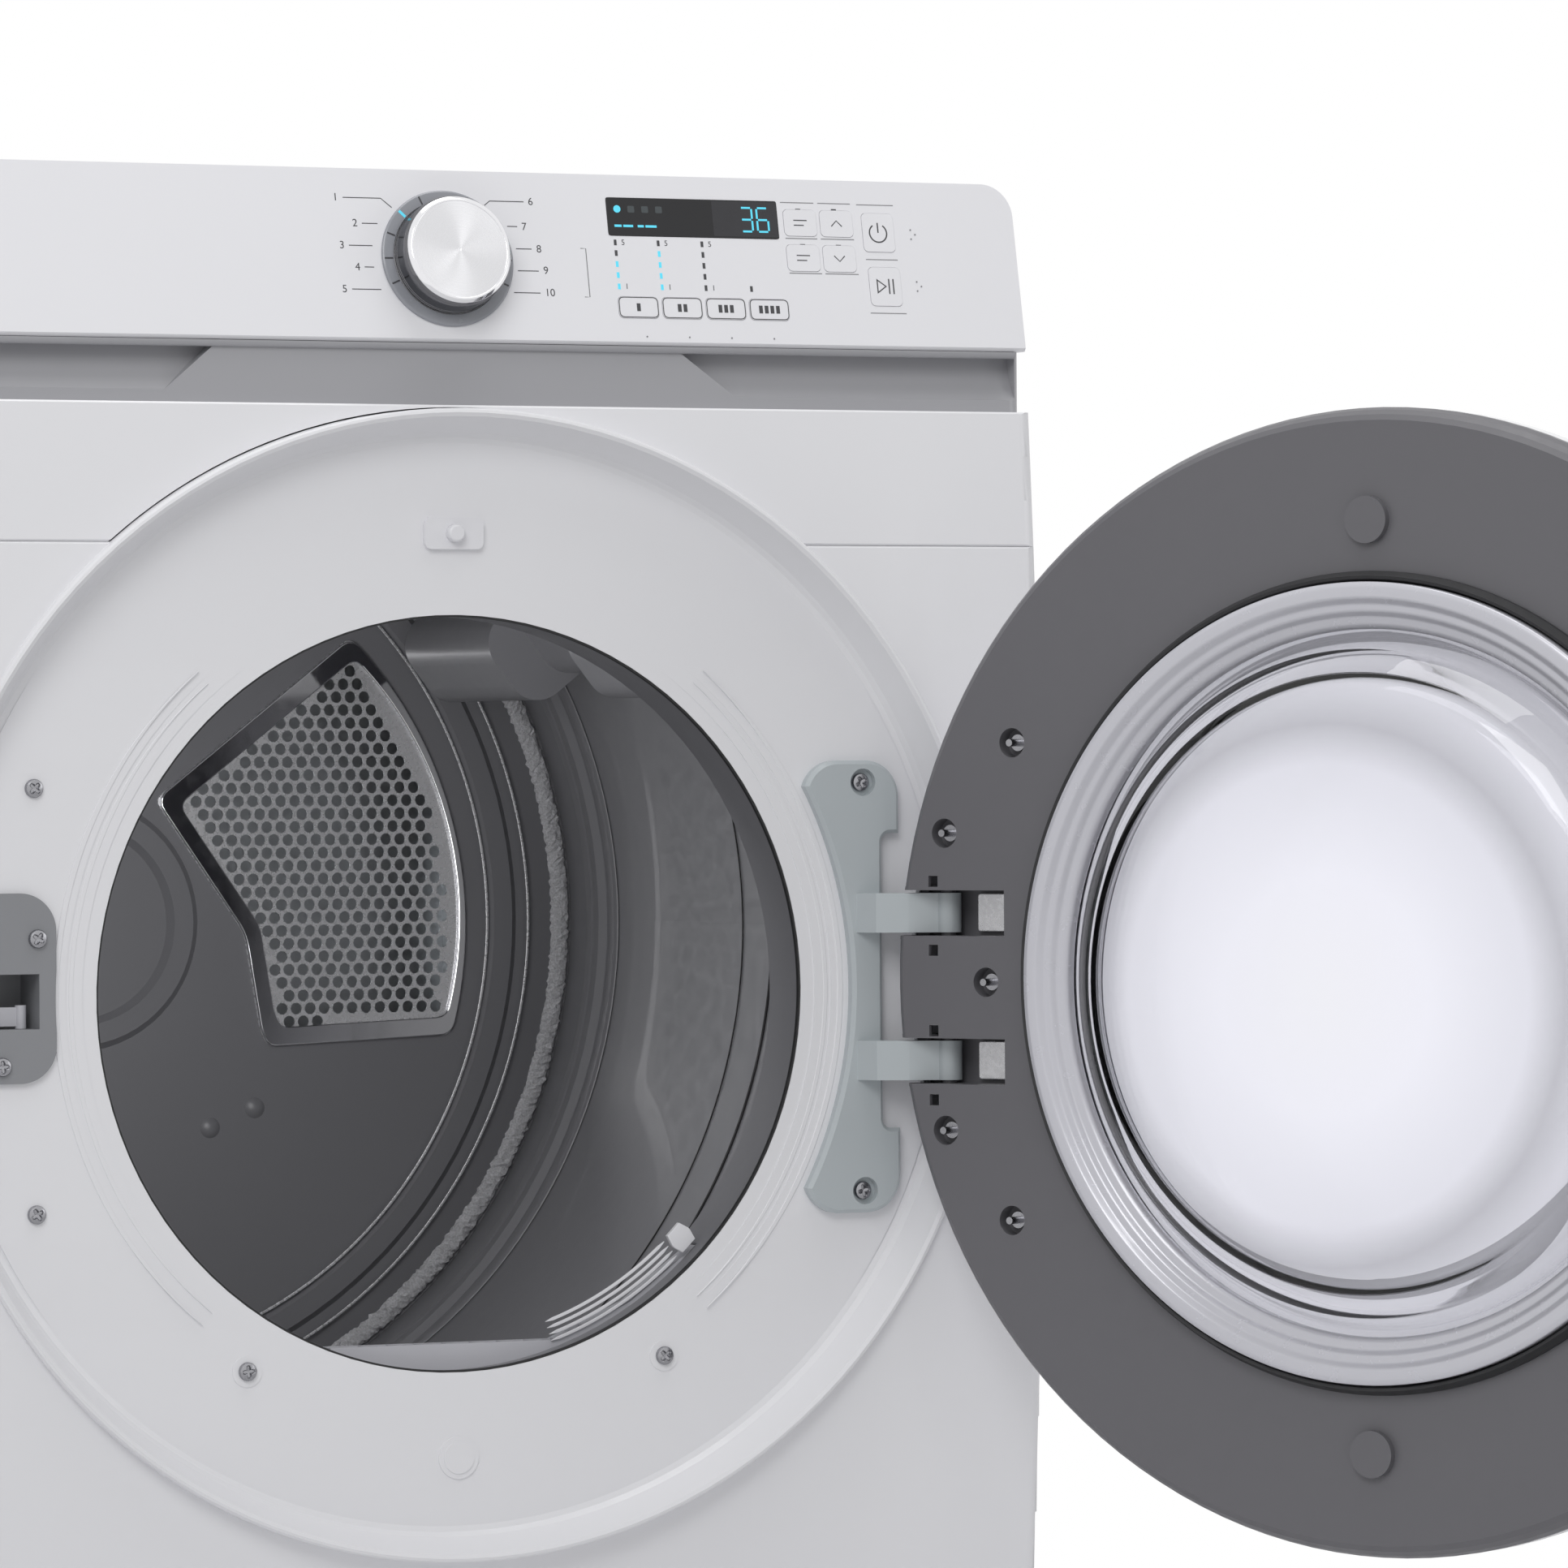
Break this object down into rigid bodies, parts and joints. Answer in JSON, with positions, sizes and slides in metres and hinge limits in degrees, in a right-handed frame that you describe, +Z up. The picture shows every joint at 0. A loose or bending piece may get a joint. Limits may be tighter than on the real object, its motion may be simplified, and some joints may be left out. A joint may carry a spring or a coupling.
{
  "type": "front-loading clothes dryer",
  "caption": "Front-loading clothes dryer: sheet cabinet with a round recessed door opening, glazed round door swung open on twin hinge arms, drum, dial and key panel.",
  "frame": {"origin": "on the floor, under the middle of the cabinet's footprint", "axes": "+X to the right as seen from the front, +Y from the front to the rear, where the exhaust leaves, +Z up"},
  "size_m": [0.933, 1.2515, 0.982],
  "materials": {
    "aluminium_duct": "plain",
    "band_grey": "satin light grey moulding",
    "black_glass": "black display window",
    "black_plastic": "black moulding",
    "black_rubber": "soft rubber",
    "board_green": "circuit board",
    "clear_glass": "clear pressed glass",
    "dark_plastic": "dark grey moulding",
    "drum_steel": "grey powder coat",
    "fascia_white": "satin white moulding",
    "felt": "felt",
    "galvanised": "galvanised sheet",
    "grey_plastic": "light grey moulding",
    "hinge_grey": "grey enamel",
    "key_white": "satin white key",
    "latch_grey": "grey moulding",
    "motor_black": "black enamel",
    "outer_white": "gloss white moulding",
    "silver_ring": "silver grey moulding",
    "smoke_ring": "translucent grey ring",
    "spun_metal": "spun metal",
    "stainless": "stainless",
    "switch_white": "white moulding",
    "tinted_window": "smoked window",
    "white_paint": "satin white enamel",
    "zinc": "zinc plated"
  },
  "bodies": {
    "cabinet": {"base_frame": "galvanised", "left_side_panel": "white_paint", "right_side_panel": "white_paint", "rear_panel": "galvanised", "top_cover": "white_paint", "front_panel": "white_paint", "upper_front_panel": "white_paint", "console_trim_band": "band_grey", "control_fascia": "fascia_white", "display_window": "black_glass", "dial_ring": "smoke_ring", "control_board": "board_green", "hinge_plate": "hinge_grey", "latch_plate": "latch_grey", "door_switch": "switch_white", "cabinet_screws": "zinc", "front_bulkhead": "drum_steel", "rear_bulkhead": "drum_steel", "heater_grille": "stainless", "heater_housing": "galvanised", "drum_felts": "felt", "blower_housing": "grey_plastic", "motor_body": "motor_black", "drive_belt": "black_rubber", "exhaust_duct": "aluminium_duct", "terminal_cover": "galvanised"},
    "door": {"door_inner_panel": "dark_plastic", "door_outer_cover": "outer_white", "door_outer_window": "tinted_window", "door_glass_bowl": "clear_glass", "glass_retaining_ring": "silver_ring", "door_seal": "black_rubber", "door_strike": "zinc", "door_screws": "zinc"},
    "drum": {"drum_shell": "drum_steel", "drum_baffles": "grey_plastic"},
    "roller_left": {"rear_roller_left": "black_rubber"},
    "roller_right": {"rear_roller_right": "black_rubber"},
    "rotor": {"motor_rotor": "zinc", "blower_wheel": "black_plastic"},
    "tensioner": {"idler_arm": "galvanised"},
    "tensioner_pulley": {"idler_pulley": "black_plastic"},
    "dial": {"dial_knob": "spun_metal"},
    "switch_button": {"door_switch_plunger": "switch_white"},
    "latch": {"latch_lever": "grey_plastic"},
    "filter": {"lint_filter": "grey_plastic"},
    "temperature_key_body": {"temperature_key": "key_white"},
    "dry_level_key_body": {"dry_level_key": "key_white"},
    "time_dry_key_body": {"time_dry_key": "key_white"},
    "more_time_key_body": {"more_time_key": "key_white"},
    "signal_key_body": {"signal_key": "key_white"},
    "wrinkle_key_body": {"wrinkle_key": "key_white"},
    "damp_key_body": {"damp_key": "key_white"},
    "custom_key_body": {"custom_key": "key_white"},
    "power_key_body": {"power_key": "key_white"},
    "start_key_body": {"start_key": "key_white"},
    "foot_front_left_body": {"foot_front_left": "black_plastic"},
    "foot_front_right_body": {"foot_front_right": "black_plastic"},
    "foot_rear_left_body": {"foot_rear_left": "black_plastic"},
    "foot_rear_right_body": {"foot_rear_right": "black_plastic"}
  },
  "joints": [
    {"name": "door_hinge", "type": "hinge", "parent": "cabinet", "child": "door", "pos_m": [0.278, -0.3655, 0.543], "axis": [0, 0, 1], "range_deg": [-121.5, 0]},
    {"name": "drum_spin", "type": "hinge", "parent": "cabinet", "child": "drum", "pos_m": [0, 0, 0.566], "axis": [0, 1, 0], "continuous": true},
    {"name": "roller_left_spin", "type": "hinge", "parent": "cabinet", "child": "roller_left", "pos_m": [-0.20264, 0.272, 0.27659], "axis": [0, 1, 0], "continuous": true},
    {"name": "roller_right_spin", "type": "hinge", "parent": "cabinet", "child": "roller_right", "pos_m": [0.20264, 0.272, 0.27659], "axis": [0, 1, 0], "continuous": true},
    {"name": "motor_spin", "type": "hinge", "parent": "cabinet", "child": "rotor", "pos_m": [0.15, 0, 0.13], "axis": [0, 1, 0], "continuous": true},
    {"name": "tensioner_swing", "type": "hinge", "parent": "cabinet", "child": "tensioner", "pos_m": [0.09731, 0.161, 0.08913], "axis": [0, 1, 0], "range_deg": [-8, 0], "stiffness_Nm_per_rad": 12, "springref_deg": 20.05},
    {"name": "tensioner_pulley_spin", "type": "hinge", "parent": "tensioner", "child": "tensioner_pulley", "pos_m": [0.05231, 0.151, 0.13913], "axis": [0, 1, 0], "continuous": true},
    {"name": "dial_turn", "type": "hinge", "parent": "cabinet", "child": "dial", "pos_m": [0.002, -0.33286, 0.93556], "axis": [0, -0.977, 0.213], "continuous": true},
    {"name": "temperature_key_press", "type": "slide", "parent": "cabinet", "child": "temperature_key_body", "axis": [0, 0.977, -0.213], "range_m": [0, 0.001], "stiffness_N_per_m": 600},
    {"name": "dry_level_key_press", "type": "slide", "parent": "cabinet", "child": "dry_level_key_body", "axis": [0, 0.977, -0.213], "range_m": [0, 0.001], "stiffness_N_per_m": 600},
    {"name": "time_dry_key_press", "type": "slide", "parent": "cabinet", "child": "time_dry_key_body", "axis": [0, 0.977, -0.213], "range_m": [0, 0.001], "stiffness_N_per_m": 600},
    {"name": "more_time_key_press", "type": "slide", "parent": "cabinet", "child": "more_time_key_body", "axis": [0, 0.977, -0.213], "range_m": [0, 0.001], "stiffness_N_per_m": 600},
    {"name": "signal_key_press", "type": "slide", "parent": "cabinet", "child": "signal_key_body", "axis": [0, 0.977, -0.213], "range_m": [0, 0.001], "stiffness_N_per_m": 600},
    {"name": "wrinkle_key_press", "type": "slide", "parent": "cabinet", "child": "wrinkle_key_body", "axis": [0, 0.977, -0.213], "range_m": [0, 0.001], "stiffness_N_per_m": 600},
    {"name": "damp_key_press", "type": "slide", "parent": "cabinet", "child": "damp_key_body", "axis": [0, 0.977, -0.213], "range_m": [0, 0.001], "stiffness_N_per_m": 600},
    {"name": "custom_key_press", "type": "slide", "parent": "cabinet", "child": "custom_key_body", "axis": [0, 0.977, -0.213], "range_m": [0, 0.001], "stiffness_N_per_m": 600},
    {"name": "power_key_press", "type": "slide", "parent": "cabinet", "child": "power_key_body", "axis": [0, 0.977, -0.213], "range_m": [0, 0.001], "stiffness_N_per_m": 600},
    {"name": "start_key_press", "type": "slide", "parent": "cabinet", "child": "start_key_body", "axis": [0, 0.977, -0.213], "range_m": [0, 0.001], "stiffness_N_per_m": 600},
    {"name": "switch_press", "type": "slide", "parent": "cabinet", "child": "switch_button", "axis": [0, 1, 0], "range_m": [0, 0.004], "stiffness_N_per_m": 200},
    {"name": "latch_flick", "type": "hinge", "parent": "cabinet", "child": "latch", "pos_m": [-0.243, -0.325, 0.53], "axis": [0, 0, 1], "range_deg": [-30, 0], "stiffness_Nm_per_rad": 0.02},
    {"name": "filter_lift", "type": "slide", "parent": "cabinet", "child": "filter", "axis": [0, 0, 1], "range_m": [0, 0.11]},
    {"name": "foot_front_left_level", "type": "slide", "parent": "cabinet", "child": "foot_front_left_body", "axis": [0, 0, 1], "range_m": [-0.015, 0]},
    {"name": "foot_front_right_level", "type": "slide", "parent": "cabinet", "child": "foot_front_right_body", "axis": [0, 0, 1], "range_m": [-0.015, 0]},
    {"name": "foot_rear_left_level", "type": "slide", "parent": "cabinet", "child": "foot_rear_left_body", "axis": [0, 0, 1], "range_m": [-0.015, 0]},
    {"name": "foot_rear_right_level", "type": "slide", "parent": "cabinet", "child": "foot_rear_right_body", "axis": [0, 0, 1], "range_m": [-0.015, 0]}
  ],
  "couplings": [
    {"joint": "roller_left_spin", "follows": "drum_spin", "ratio": -9.0857},
    {"joint": "roller_right_spin", "follows": "drum_spin", "ratio": -9.0857},
    {"joint": "motor_spin", "follows": "drum_spin", "ratio": 14.454},
    {"joint": "tensioner_pulley_spin", "follows": "drum_spin", "ratio": -17.667}
  ]
}
